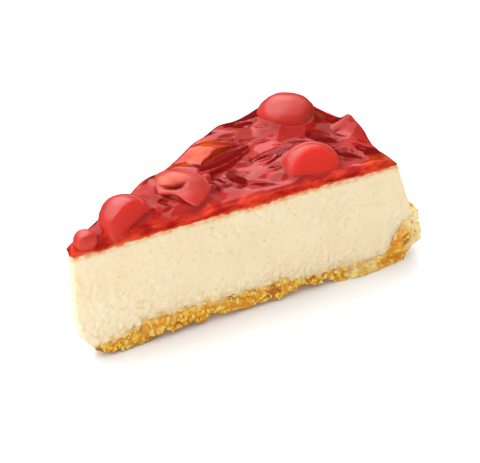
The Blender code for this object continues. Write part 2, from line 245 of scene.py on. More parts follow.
# Unevenness in layers, each with its height and the size of its bumps
CRUST_TEAR = [(0.9, 2.4), (0.5, 1.1)]
KNIFE_DRAG = [(0.3, 13.0), (0.25, 4.0)]
CUT_GRAIN = [(0.22, 1.9), (0.12, 1.0)]
FOOT_CRUMBLE = [(0.6, 2.0), (0.5, 1.1)]
WALL_UNEVEN = [(0.35, 5.0), (0.15, 1.5)]
FOLD_WANDER = [(0.8, 5.0), (0.35, 1.8)]
GLAZE_TEAR = [(0.6, 5.0), (0.5, 1.3)]
CHERRY_SKIN = [(CHERRY_UNEVEN, 1.0), (0.012, 0.35)]

# How finely the visible meshes are cut: step along the slice in millimetres, and the number
# of points across and up
FINE = 0.45
CRUST_GRID = (81, 27)
FILLING_GRID = (23, 91)
GLAZE_GRID = (121, 11)

# Camera, fitted to the photo's frame of 480 by 463 pixels
PHOTO_WIDTH_PX = 480
FOCAL_LENGTH_PX = 1347
SENSOR_WIDTH = 36.0
CAMERA_TURN = math.radians(-40.8)
CAMERA_RISE = math.radians(35.5)
CAMERA_DISTANCE = 0.456
CAMERA_TARGET_X = -0.0035
CAMERA_TARGET_RIGHT = 0.0052
CAMERA_TARGET_UP = 0.0188

# Stage: floor and lights in metres; each light has its name, turn and rise in degrees,
# distance, width, height, radiance, and whether the slice mirrors it
FLOOR_HALF = 2.0
FLOOR_LEVEL = -0.00005
WORLD_LIGHT = 0.35
WORLD_MIRRORED = 0.03
LIGHTS = [("top_box", 118, 62, 0.55, 1.3, 0.64, 2.2, True),
          ("far_panel", 44, 43, 0.9, 1.2, 0.52, 0.85, True),
          ("top_fill", 0, 90, 0.9, 1.6, 1.6, 0.7, True),
          ("front_fill", -131, 25, 1.2, 2.0, 1.0, 0.5, False)]

# Colours of the filling, the crust, the crumbs, the gel, the cherries and the floor, in
# linear light
CREAM = (0.96, 0.79, 0.535)
CREAM_SHADE = (0.93, 0.75, 0.48)
CREAM_PORE_SHADE = (0.92, 0.62, 0.22)
CREAM_GRAIN = (0.97, 0.86, 0.66)
CREAM_FOOT = (0.80, 0.50, 0.15)
CREAM_STAIN = (0.92, 0.36, 0.10)
CRUST_AMBER = (1.0, 0.50, 0.022)
CRUST_GOLD = (1.0, 0.69, 0.07)
CRUST_PATCH = (1.0, 0.75, 0.15)
CRUST_GRAIN = (1.0, 0.80, 0.42)
CRUST_GAP_SHADE = (0.86, 0.29, 0.003)
CRUST_HOLE_SHADE = (0.48, 0.13, 0.002)
CRUST_RIM = (1.0, 0.90, 0.50)
CRUST_BROWN = (0.86, 0.29, 0.006)
CRUST_CREAM = (0.98, 0.74, 0.36)
CRUMB_TOAST = (0.92, 0.37, 0.008)
CRUMB_GOLD = (1.0, 0.63, 0.06)
CRUMB_PALE = (1.0, 0.80, 0.26)
GEL_RED = (0.41, 0.015, 0.010)
GEL_DEEP = (0.25, 0.006, 0.005)
GEL_LEAN_SHADE = (0.17, 0.003, 0.003)
GEL_EDGE = (0.82, 0.062, 0.028)
GEL_EDGE_DEEP = (0.38, 0.010, 0.007)
GEL_ORANGE = (0.72, 0.085, 0.008)
GEL_FOOT = (0.86, 0.15, 0.045)
CHERRY_RED = (0.51, 0.034, 0.024)
CHERRY_SHADE = (0.45, 0.025, 0.018)
CHERRY_UNDERSIDE_LIGHT = (0.74, 0.046, 0.030)
CHERRY_ORANGE = (0.62, 0.085, 0.018)
CHERRY_CUT = (0.72, 0.024, 0.012)
CHERRY_HOLE_SHADE = (0.22, 0.006, 0.005)
CHERRY_HIGHLIGHT = (0.90, 0.34, 0.30)
FLOOR_WHITE = (0.93, 0.965, 1.0, 1.0)


def curve(points, at):
    """Read a smooth curve that runs through a few (place, value) points."""
    places, values = (np.array(column, float) for column in zip(*points))
    last = len(places) - 1
    before = np.maximum(np.arange(last + 1) - 1, 0)
    after = np.minimum(np.arange(last + 1) + 1, last)
    slopes = (values[after] - values[before]) / (places[after] - places[before])
    at = np.clip(at, places[0], places[-1])
    k = np.clip(np.searchsorted(places, at, side="right") - 1, 0, last - 1)
    step = places[k + 1] - places[k]
    t = (at - places[k]) / step
    start = values[k] * (1 + 2 * t) * (1 - t) ** 2
    end = values[k + 1] * t * t * (3 - 2 * t)
    bend = step * t * (1 - t) * (slopes[k] * (1 - t) - slopes[k + 1] * t)
    return start + end + bend


def ramp(value, start, width):
    """Rise smoothly from 0 to 1 over the width that begins at start."""
    t = np.clip((value - start) / width, 0.0, 1.0)
    return t * t * (3 - 2 * t)


def at_each(measure, x, y, z, size):
    """Measure a pattern of the given size at each place."""
    places = np.stack(np.broadcast_arrays(x, y, z), axis=-1) / size
    found = [measure(place) for place in places.reshape(-1, 3).tolist()]
    return np.array(found).reshape(places.shape[:-1])


def rough(x, y, z, size):
    """Smooth unevenness between about -1 and 1, with bumps of the given size."""
    return at_each(noise.noise, x, y, z, size)


def layers(x, y, z, heights_and_sizes):
    """Sum of smooth unevenness in layers."""
    return sum(height * rough(x, y, z, size) for height, size in heights_and_sizes)


def oval(first, second, middle, reach):
    """Oval patch with a soft edge: 1 inside it and 0 far from it."""
    away = ((first - middle[0]) / reach[0]) ** 2 + ((second - middle[1]) / reach[1]) ** 2
    return np.exp(-away ** 2)


def grain_gap(place):
    """Distance from the border between the two nearest of many packed grains."""
    nearest, second = noise.voronoi(place)[0][:2]
    return second - nearest


def grains(x, y, z, size):
    """Packed round grains: 0 in the gaps between them, towards 1 on their tops."""
    return np.sqrt(np.clip(at_each(grain_gap, x, y, z, size), 0.0, 1.0))


def pit_distance(place):
    """Distance from the nearest of many scattered points."""
    return noise.voronoi(place)[0][0]


def way_of(turn, rise):
    """Unit direction with that turn from +X and that rise, in degrees."""
    turn, rise = math.radians(turn), math.radians(rise)
    return Vector((math.cos(turn) * math.cos(rise), math.sin(turn) * math.cos(rise),
                   math.sin(rise)))


def turned(points, degrees):
    """Points or directions, turned about the Z axis."""
    cosine, sine = math.cos(math.radians(degrees)), math.sin(math.radians(degrees))
    x = cosine * points[:, 0] - sine * points[:, 1]
    y = sine * points[:, 0] + cosine * points[:, 1]
    return np.stack([x, y, points[:, 2]], axis=-1)


def spot(radius, across, height, out=0.0):
    """Turn places in the slice into points; out is how far they stand off the cut."""
    angle = across * HALF_ANGLE
    side = np.sign(across)
    x = CAKE_CENTRE_X + radius * np.cos(angle) - side * out * np.sin(angle)
    y = radius * np.sin(angle) + side * out * np.cos(angle)
    return np.stack(np.broadcast_arrays(x, y, height), axis=-1)


def inside(points):
    """Points in metres, held inside the box of the whole slice."""
    low, high = (np.array(corner, float) for corner in CAD_BOUNDS)
    return np.clip(points * MM, low, high).tolist()


def new_piece(name, points, faces):
    """A mesh object from points in millimetres."""
    data = bpy.data.meshes.new(name)
    data.from_pydata(inside(points), [], faces)
    data.validate()
    thing = bpy.data.objects.new(name, data)
    bpy.context.scene.collection.objects.link(thing)
    data.shade_smooth()
    return thing


def paint(thing, name, values):
    """Keep one number per point on the mesh, for its material to read."""
    layer = thing.data.attributes.new(name, "FLOAT", "POINT")
    layer.data.foreach_set("value", np.ascontiguousarray(values, np.float32))


def block(radii, acrosses, rises, place):
    """Points, faces and lattice places of a closed block; place() gives its points."""
    sizes = (len(radii), len(acrosses), len(rises))
    skin = np.zeros(sizes, bool)
    skin[[0, -1]] = True
    skin[:, [0, -1]] = True
    skin[:, :, [0, -1]] = True
    number = np.full(sizes, -1)
    number[skin] = np.arange(skin.sum())
    i, j, k = (index[skin] for index in np.indices(sizes))
    share = i / (len(radii) - 1)
    points = place(radii[i], share, acrosses[j], rises[k])
    sheets = [(number[:, :, -1], False), (number[:, :, 0], True), (number[:, 0, :], False),
              (number[:, -1, :], True), (number[0], True), (number[-1], False)]
    quads = []
    for ids, flip in sheets:
        ring = np.stack([ids[:-1, :-1], ids[1:, :-1], ids[1:, 1:], ids[:-1, 1:]], axis=-1)
        ring = ring.reshape(-1, 4)
        quads.append(ring[:, ::-1] if flip else ring)
    return points, np.concatenate(quads).tolist(), (radii[i], acrosses[j], rises[k])


# Crust

def crust_top(radius, across):
    """Height of the crust where the filling meets it, with its ragged fine edge."""
    y = HALF_WIDTH * across
    wave = CRUST_WAVE * rough(radius, y, 3.0, CRUST_WAVE_SIZE)
    fine = rough(radius, y, 8.0, 3.4) + 0.8 * rough(radius, y, 5.0, 1.6)
    return curve(CRUST_TOP, radius) + wave + fine


def crumb_relief(x, y, z):
    """Clumps of baked crumb, standing out and falling in."""
    coarse = grains(x, y, z, COARSE_CRUMB)
    fine = grains(x + 20.0, y, z, FINE_CRUMB)
    clumps = CLUMP_HEIGHT * rough(x, y, z, CLUMP_SIZE)
    return COARSE_HEIGHT * (coarse - 0.62) + FINE_HEIGHT * (fine - 0.6) + clumps


def crust_place(radius, share, across, rise):
    """Points of the crust."""
    foot = np.maximum(curve(CRUST_TIP_FOOT, radius), 0.0)
    height = foot + (crust_top(radius, across) - foot) * rise
    fade = (radius / CRUST_TOP[-1][0]) ** OUTSIDE_FADE
    radius = radius + (curve(CRUST_OUTSIDE, height) - CRUST_TOP[-1][0]) * fade
    y = HALF_WIDTH * across
    torn = layers(radius, y, 0.0, CRUST_TEAR)
    near_foot = np.maximum(0.0, curve(NEAR_FOOT, radius) + torn)
    near_foot = near_foot * (1 - ramp((1 + across) * HALF_ANGLE * radius, 0.5, NEAR_FOOT_REACH))
    far_foot = 3.0 * np.maximum(0.0, torn + rough(radius, y, 0.0, 6.0))
    far_foot = far_foot * ramp(across, 0.75, 0.25)
    height = height + (near_foot + far_foot) * (1 - rise) ** 2
    relief = crumb_relief(radius, y, height)
    radius = np.where(share >= 1.0, radius + relief - 0.3, radius)
    length = (radius - BULGE_RADIUS) / BULGE_LENGTH
    bulge = BULGE_OUT * np.exp(-length ** 4) * (1 - ramp(height, 0.0, BULGE_TOP)) * (across < 0)
    out = np.where(np.abs(across) >= 1.0, np.minimum(relief, 0.6) + bulge, 0.0)
    return spot(radius, across, np.maximum(height, 0.0), out)


def make_crust():
    """The crumb crust."""
    radii = np.arange(FILLING_FOOT_TIP, CRUST_TOP[-1][0] + FINE, FINE)
    radii[-1] = CRUST_TOP[-1][0]
    acrosses = np.linspace(-1, 1, CRUST_GRID[0])
    rises = np.linspace(0, 1, CRUST_GRID[1])
    points, quads, (radius, across, rise) = block(radii, acrosses, rises, crust_place)
    thing = new_piece("crumb_crust", points, quads)
    paint(thing, "rise", rise)
    y = HALF_WIDTH * across
    coarse = grains(radius, y, points[:, 2], COARSE_CRUMB)
    fine = grains(radius + 20.0, y, points[:, 2], FINE_CRUMB)
    # Painted shade: how far each point lies in a gap between the crust's grains
    paint(thing, "gap_shade", 1 - 0.8 * coarse - 0.2 * fine)
    rim = ramp(radius, 123.0, 5.0) * ramp(points[:, 2], 2.0, 5.0)
    rim = rim * (0.3 + 0.7 * ramp(np.abs(across), 0.975, 0.025))
    bulge = 0.8 * np.exp(-((radius - BULGE_RADIUS) / BULGE_LENGTH) ** 4)
    paint(thing, "rim", np.maximum(rim, bulge))
    seam = np.zeros(len(points))
    for *place, strength in CRUST_SEAMS:
        seam = np.maximum(seam, strength * oval(radius, points[:, 2], place[:2], place[2:]))
    paint(thing, "seam", seam)
    return thing


# Filling

def filling_radius(radius, share, across, rise, top_radius=TOP_RADIUS):
    """Distance from the cake's middle, leaning in at the wall and out at the tip."""
    near_tip = (1 - share) ** TIP_FADE
    tip = curve(FILLING_TIP, rise) - FILLING_FOOT_TIP
    wall = (top_radius - FILLING_FOOT_WALL) * rise
    rounding = TIP_ROUNDING * np.abs(across) ** 3 * rise
    return radius + (tip + rounding) * near_tip + wall * share ** WALL_FADE


def filling_top(radius, across):
    """Height of the baked filling under the glaze, with its edge rounded at the rim."""
    edge = ramp(radius, TOP_RADIUS - TOP_EDGE_WIDTH, TOP_EDGE_WIDTH)
    wave = rough(radius, HALF_WIDTH * across, 7.0, FILLING_WAVE_SIZE)
    fine = 0.3 * rough(radius, HALF_WIDTH * across, 2.0, 3.0)
    return curve(FILLING_TOP, radius) + FILLING_WAVE * wave + fine - TOP_EDGE_DROP * edge


def pores(radius, side, height):
    """Small curved pores of the cut face, 0 outside them and 1 in their middle."""
    bend = 0.9 * rough(radius, 30.0 * side, height, 1.7)
    places = (radius + bend, 40.0 * side, 1.4 * height - bend)
    away = at_each(pit_distance, *places, PORE_SPACING)
    some = ramp(rough(radius, 50.0 * side, height, 8.0), -0.25, 0.4)
    return (1 - ramp(away, 0.10, 0.15)) * some


def cut_relief(radius, side, height, rise):
    """Unevenness of the cut face: knife drag, small pores and a crumbly foot."""
    y = 40.0 * side
    drag = layers(radius, y, height, KNIFE_DRAG)
    patch = 0.5 + ramp(rough(radius, y, height, 15.0), -0.2, 0.4)
    grain = layers(radius, y, height, CUT_GRAIN)
    foot = ramp(0.40 - rise, 0.0, 0.40)
    crumble = layers(radius, y, height, FOOT_CRUMBLE)
    head = 0.4 * ramp(rise, 0.92, 0.08) * rough(radius, y, height, 1.6)
    holes = PORE_DEPTH * pores(radius, side, height)
    return drag + patch * grain - holes + foot * crumble + head


def filling_place(radius, share, across, rise):
    """Points of the filling."""
    foot = crust_top(radius, across) - 0.05
    radius = filling_radius(radius, share, across, rise)
    height = foot + (filling_top(radius, across) - foot) * rise
    side = np.where(np.abs(across) >= 1.0, np.sign(across), 0.0)
    out = np.abs(side) * cut_relief(radius, side, height, rise)
    wall = layers(0.0, HALF_WIDTH * across, height, WALL_UNEVEN)
    radius = np.where(share >= 1.0, radius + wall - 0.2, radius)
    tip_wave = 0.35 * rough(3.0, HALF_WIDTH * across, height, 7.0)
    radius = np.where(share <= 0.0, radius + np.maximum(tip_wave, -0.1), radius)
    return spot(radius, across, height, out)


def make_filling():
    """The baked cheese filling."""
    radii = np.arange(FILLING_FOOT_TIP, FILLING_FOOT_WALL + FINE, FINE)
    radii[-1] = FILLING_FOOT_WALL
    acrosses = np.linspace(-1, 1, FILLING_GRID[0])
    rises = np.linspace(0, 1, FILLING_GRID[1])
    points, quads, (radius, across, rise) = block(radii, acrosses, rises, filling_place)
    thing = new_piece("baked_filling", points, quads)
    paint(thing, "rise", rise)
    side = np.where(np.abs(across) >= 1.0, np.sign(across), 0.0)
    # Painted shade: where the cut faces' pores lie, for the material to darken them
    paint(thing, "pore_shade", pores(radius, side, points[:, 2]) * np.abs(side))
    return thing


# Glaze

def meniscus(x, y):
    """How far the glaze climbs at the cherries."""
    climb = np.zeros(np.shape(x))
    for cherry in CHERRIES:
        middle, half = cherry[1:3]
        away = np.hypot(x - middle[0], y - middle[1]) - 0.5 * (half[0] + half[1])
        near = np.exp(-np.maximum(away, 0.0) / MENISCUS_REACH) * half[0] / LARGE_CHERRY
        climb = np.maximum(climb, near)
    return MENISCUS_HEIGHT * climb


def fold_plane(fold):
    """Middle, height there and sideways tilt of a fold's plane, which joins the fold's ends."""
    start, end = np.array(fold[:2]), np.array(fold[2:4])
    ends = np.stack([start, 0.5 * (start + end), end])
    away = np.hypot(ends[:, 0] - CAKE_CENTRE_X, ends[:, 1])
    angle = np.arctan2(ends[:, 1], ends[:, 0] - CAKE_CENTRE_X)
    levels = glaze_base(away, np.clip(angle / HALF_ANGLE, -1, 1))
    run = (end - start) @ np.array(CAMERA_SIDE)
    rise = levels[2] - levels[0] + FOLD_LEAN * (end - start) @ np.array(FAR_SIDE)
    tilt = np.clip(rise / run, -FOLD_TILT, FOLD_TILT)
    return ends[1], levels[1], tilt


def fold_in(level, x, y):
    """Lay the folds into the gel: ragged patches that are flat and lean to the far side."""
    wander = layers(x, y, 5.0, FOLD_WANDER)
    for fold in GLAZE_FOLDS:
        start_x, start_y, end_x, end_y, width = fold
        length = math.hypot(end_x - start_x, end_y - start_y)
        along_x, along_y = (end_x - start_x) / length, (end_y - start_y) / length
        along = (x - start_x) * along_x + (y - start_y) * along_y
        side = (y - start_y) * along_x - (x - start_x) * along_y + wander
        from_middle = np.clip(2 * along / length - 1, -1.0, 1.0)
        half = 0.55 * width * (1 - from_middle ** 2) ** 0.6
        share = 1 - ramp(np.abs(side) - half, -0.5 * FOLD_BANK, FOLD_BANK)
        share = share * (np.abs(from_middle) < 1.0)
        middle, height, tilt = fold_plane(fold)
        out_x, out_y = x - middle[0], y - middle[1]
        flat = height - FOLD_LEAN * (out_x * FAR_SIDE[0] + out_y * FAR_SIDE[1])
        flat = flat + tilt * (out_x * CAMERA_SIDE[0] + out_y * CAMERA_SIDE[1])
        level = level + share * (flat - level)
    return level


def glaze_base(radius, across):
    """Height of the glaze without its folds and its rounded edges."""
    x, y, _ = np.moveaxis(spot(radius, across, 0.0), -1, 0)
    mix = 0.5 + 0.5 * across
    level = curve(GLAZE_NEAR, radius) * (1 - mix) + curve(GLAZE_FAR, radius) * mix
    level = level + GLAZE_CROWN * (1 - across * across)
    for mound_x, mound_y, height, reach in GLAZE_MOUNDS:
        level += height * np.exp(-((x - mound_x) ** 2 + (y - mound_y) ** 2) / reach ** 2)
    level += meniscus(x, y) * (1 - np.abs(across) ** 4)
    level += GLAZE_WAVE * rough(x, 1.6 * y, 0.0, GLAZE_WAVE_SIZE)
    return level


def glaze_top(radius, across):
    """Height of the glaze."""
    x, y, _ = np.moveaxis(spot(radius, across, 0.0), -1, 0)
    level = glaze_base(radius, across)
    bend = 2.0 * rough(x, y, 4.0, 12.0)
    level += 0.15 * np.tanh(3.0 * rough(0.35 * x, y + bend, 1.0, 6.0))
    level += 0.07 * rough(0.4 * x, y + bend, 1.0, 3.2)
    for height, stretch, layer, size, sunk in GLAZE_CREASES:
        level += height * np.abs(rough(stretch * x, y + bend, layer, size)) - sunk
    for lump_x, lump_y, height, reach in GLAZE_LUMPS:
        level += height * np.exp(-(((x - lump_x) ** 2 + (y - lump_y) ** 2) / reach ** 2) ** 2)
    level += (fold_in(level, x, y) - level) * ramp(1 - np.abs(across), 0.0, 0.1)
    to_rim = ramp(radius, GLAZE_EDGE_RADIUS - GLAZE_RIM_WIDTH, GLAZE_RIM_WIDTH)
    level = level + (curve(GLAZE_RIM, across) - level) * to_rim
    to_cut = (1 - np.abs(across)) * HALF_ANGLE * radius
    to_end = np.minimum(GLAZE_EDGE_RADIUS - radius, radius - TIP_RADIUS)
    width = 1.1 + 0.7 * rough(x, y, 6.0, 7.0)
    edge = np.clip(np.minimum(to_cut, to_end) / width, 0.0, 1.0)
    return level - 0.55 * width * (1 - edge) ** 2


def glaze_lean(x, y):
    """How much the gel's surface turns away to the far side, from 0 to 1, used for painted shade.
    """
    levels = []
    for step in (-0.3, 0.3):
        out_x = x + step * FAR_SIDE[0] - CAKE_CENTRE_X
        out_y = y + step * FAR_SIDE[1]
        angle = np.arctan2(out_y, out_x)
        levels.append(glaze_top(np.hypot(out_x, out_y), np.clip(angle / HALF_ANGLE, -1, 1)))
    return ramp((levels[0] - levels[1]) / 0.6, 0.03, 0.08)


def glaze_place(radius, share, across, rise):
    """Points of the glaze."""
    radius = filling_radius(radius, share, across, 1.0, GLAZE_EDGE_RADIUS)
    y = HALF_WIDTH * across
    edge = np.abs(across) >= 1.0
    ragged = layers(radius, y, 9.0, GLAZE_TEAR)
    foot = filling_top(radius, across) - 0.05 + np.where(edge, ragged - 0.1, 0.0)
    height = foot + (glaze_top(radius, across) - foot) * rise
    belly = 0.2 + GLAZE_BELLY * np.sin(math.pi * rise) * (1 + rough(0.4 * radius, y, height, 2.2))
    drip = 0.35 * rough(0.0, y, 0.3 * height, 3.0) * np.sin(math.pi * rise)
    radius = np.where(share >= 1.0, radius + 0.6 * np.sin(math.pi * rise) + drip, radius)
    return spot(radius, across, height, np.where(edge, belly, 0.0))


def make_glaze():
    """The cherry gel."""
    radii = np.arange(FILLING_FOOT_TIP, FILLING_FOOT_WALL + FINE, FINE)
    radii[-1] = FILLING_FOOT_WALL
    spread = np.linspace(-1, 1, GLAZE_GRID[0])
    acrosses = np.sign(spread) * (1 - (1 - np.abs(spread)) ** 1.15)
    rises = np.linspace(0, 1, GLAZE_GRID[1])
    points, quads, (radius, across, rise) = block(radii, acrosses, rises, glaze_place)
    thing = new_piece("cherry_gel", points, quads)
    x, y, z = points.T
    # Painted shade: slopes of the gel that turn away to the far side
    paint(thing, "lean", glaze_lean(x, y) * (rise >= 1.0))
    to_cut = (1 - np.abs(across)) * HALF_ANGLE * radius
    rim = GLAZE_EDGE_RADIUS - np.hypot(x - CAKE_CENTRE_X, y)
    uneven = rough(x, y, 2.0, 5.0)
    paint(thing, "edge", 1 - ramp(np.minimum(to_cut, rim) + uneven, 0.0, 1.8))
    glow = np.zeros(len(x))
    for *place, strength in GLAZE_GLOWS:
        glow = np.maximum(glow, strength * oval(x, y, place[:2], place[2:]))
    paint(thing, "glow", glow)
    paint(thing, "foot", (1 - ramp(rise + 0.1 * rough(x, y, z, 2.0), 0.0, 0.45)) * (to_cut < 0.01))
    return thing


# Cherries

def ease_under(value, limit, softness):
    """Keep values under a limit, with a soft bend where they come near."""
    start = limit - softness
    over = np.maximum(value - start, 0.0)
    return np.minimum(value, start) + softness * (1 - np.exp(-over / softness))


def angle_to(ways, look):
    """Angle between unit directions and one direction."""
    look = np.array(look, float)
    return np.arccos(np.clip(ways @ (look / np.linalg.norm(look)), -1, 1))


def mouth(ways):
    """The middle cherry's torn side: its shape, painted shade in its hole and the hollow under its
    lip, and a painted highlight along the edge of its lip.
    """
    along, up, look = (np.array(way) for way in (MOUTH_ALONG, MOUTH_UP, MOUTH_LOOK))
    facing = ramp(ways @ look, 0.0, 0.35)
    side, rise = ways @ along, ways @ up
    from_hole = side - MOUTH_HOLE[0]
    over_hole = rise - MOUTH_HOLE[1] - 0.7 * from_hole * from_hole
    reach_along, reach_over = MOUTH_HOLE_REACH
    hole = np.exp(-(from_hole / reach_along) ** 4 - (over_hole / reach_over) ** 2)
    over_lip = rise - curve(MOUTH_LIP, side)
    lip = np.exp(-((over_lip - MOUTH_LIP_WIDTH) / MOUTH_LIP_WIDTH) ** 2)
    hollow = ramp(-over_lip, 0.0, MOUTH_LIP_WIDTH)
    # Painted highlight along the edge of the lip
    edge = np.exp(-((over_lip - 0.03) / 0.035) ** 2) * ramp(side, -0.25, 0.2)
    edge = edge * facing * (1 - ramp(side, 0.4, 0.1))
    dents = MOUTH_LIP_HEIGHT * lip - MOUTH_HOLE_DEPTH * hole - MOUTH_HOLLOW_DEPTH * hollow
    # The second value is painted shade for the hole and the hollow under the lip
    return facing * dents, np.maximum(hole, 0.75 * hollow) * facing, edge


def highlight_line(name, ways, half, turn):
    """Thin painted highlight line beside a cherry's outline as seen from the camera."""
    line = np.zeros(len(ways))
    normals = ways / np.array(half)
    normals /= np.linalg.norm(normals, axis=1)[:, None]
    normals = turned(normals, turn)
    for line_name, middle_way, angle, reach in HIGHLIGHT_LINES:
        if line_name == name:
            away = angle_to(normals, HIGHLIGHT_AROUND) - math.radians(angle)
            near = 1 - ramp(angle_to(normals, middle_way), math.radians(reach), 0.15)
            line = np.maximum(line, near * np.exp(-(away / HIGHLIGHT_WIDTH) ** 2))
    return line


def cherry_points(cherry, ways):
    """Points of a cherry's skin in the given unit directions."""
    name, middle, half, turn, look, depth = cherry
    skin = 1 - depth * np.exp(-(angle_to(ways, look) / PIT_HOLE_WIDTH) ** 2)
    x, y, z = (1.4 * ways + np.array(middle)).T
    skin += layers(x, y, z, CHERRY_SKIN)
    if name == "cherry_mid":
        skin = skin + mouth(ways)[0]
    points = turned(ways * np.array(half) * skin[:, None], turn) + np.array(middle)
    near_cut = -90.0 - math.degrees(HALF_ANGLE)
    cake_centre = (CAKE_CENTRE_X, 0.0, 0.0)
    planes = [(near_cut, 0.0, CHERRY_OVERHANG, CHERRY_SOFTNESS, cake_centre),
              (-near_cut, 0.0, CHERRY_OVERHANG, CHERRY_SOFTNESS, cake_centre)]
    if name in CHERRY_KNIFE:
        planes.append((*CHERRY_KNIFE[name], middle))
    for facing, rise, limit, softness, origin in planes:
        normal = np.array(way_of(facing, rise))
        out = (points - np.array(origin)) @ normal
        points += np.outer(ease_under(out, limit, softness) - out, normal)
    points[:, 2] = -ease_under(-points[:, 2], -CHERRY_REST, CHERRY_SOFTNESS)
    return points


def ball(around, rings):
    """Unit directions and faces of a ball of rings between two poles."""
    tilt = np.pi * np.arange(1, rings) / rings
    turn = 2 * np.pi * np.arange(around) / around
    tilt, turn = (a.ravel() for a in np.meshgrid(tilt, turn, indexing="ij"))
    ways = np.stack([np.sin(tilt) * np.cos(turn), np.sin(tilt) * np.sin(turn), np.cos(tilt)], 1)
    ways = np.concatenate([ways, [[0, 0, 1], [0, 0, -1]]])
    k = np.arange(around)
    after = (k + 1) % around
    faces = []
    for ring in range(rings - 2):
        upper, lower = ring * around, (ring + 1) * around
        faces.append(np.stack([upper + k, lower + k, lower + after, upper + after], 1))
    top, foot, last = len(ways) - 2, len(ways) - 1, (rings - 2) * around
    caps = [np.stack([np.full(around, top), k, after], 1),
            np.stack([np.full(around, foot), last + after, last + k], 1)]
    return ways, [face for part in faces + caps for face in part.tolist()]


def make_cherry(cherry):
    """One cherry, coated with gel."""
    name, middle, half, turn = cherry[:4]
    ways, faces = ball(*CHERRY_RINGS)
    points = cherry_points(cherry, ways)
    thing = new_piece("coated_" + name, points, faces)
    hole = edge = np.zeros(len(ways))
    if name == "cherry_mid":
        hole, edge = mouth(ways)[1:]
    # Painted shade in the middle cherry's hole and hollow
    paint(thing, "hole", hole)
    # Painted light: the lower part of each cherry is painted brighter
    paint(thing, "low", 1 - ramp(ways[:, 2], -0.1, 0.9))
    # Painted highlight lines along the lip and beside the outline
    paint(thing, "highlight", np.maximum(edge, highlight_line(name, ways, half, turn)))
    glow = np.zeros(len(ways))
    for glow_name, glow_way, reach in CHERRY_GLOWS:
        if glow_name == name:
            glow = np.maximum(glow, np.exp(-(angle_to(ways, glow_way) / reach) ** 2))
    paint(thing, "glow", glow)
    cut = np.zeros(len(ways))
    if name in CHERRY_KNIFE:
        facing, rise, distance, softness = CHERRY_KNIFE[name]
        normal = np.array(way_of(facing, rise))
        cut = ramp((points - np.array(middle)) @ normal, distance - softness, 0.9 * softness)
    paint(thing, "cut", cut)
    return thing


# Crumbs on the crust

def crumb_ball():
    """Directions and triangles of a small lump."""
    ways, faces = ball(*CRUMB_RINGS)
    triangles = []
    for face in faces:
        triangles.append(face[:3])
        if len(face) == 4:
            triangles.append([face[0], face[2], face[3]])
    return ways, np.array(triangles)


def make_crumbs():
    """Loose and baked-on crumbs over the crust's cut faces, outside and foot."""
    draw = np.random.default_rng(SEED)
    count = CRUMB_COUNT
    radius = draw.uniform(FILLING_FOOT_TIP + 1.0, CRUST_TOP[-1][0], count)
    side = np.where(draw.random(count) < 0.5, -1.0, 1.0)
    outside = draw.random(count) < CRUMBS_OUTSIDE
    across = np.where(outside, draw.uniform(-1, 1, count), side)
    radius = np.where(outside, CRUST_TOP[-1][0], radius)
    rise = draw.random(count) ** 1.2 * 1.02
    share = np.where(outside, 1.0, 0.5)
    centre = crust_place(radius, share, across, rise)
    size = CRUMB_SMALLEST + CRUMB_SPREAD * draw.random(count) ** 2.0
    size = np.where(rise > 0.9, 0.7 * size, size)
    ways, faces = crumb_ball()
    lumps = rough(*(ways.T[:, None, :] + 7.0 * np.arange(count)[None, :, None]), 0.9)
    squash = draw.uniform(0.6, 1.25, (count, 1, 3))
    bulk = size[:, None] * (1 + 0.7 * lumps)
    points = centre[:, None, :] + ways[None] * squash * bulk[..., None]
    points[..., 2] = np.maximum(points[..., 2], 0.02)
    faces = faces[None] + len(ways) * np.arange(count)[:, None, None]
    thing = new_piece("crumbs", points.reshape(-1, 3), faces.reshape(-1, 3).tolist())
    paint(thing, "tone", np.repeat(draw.random(count), len(ways)))
    return thing


# Materials

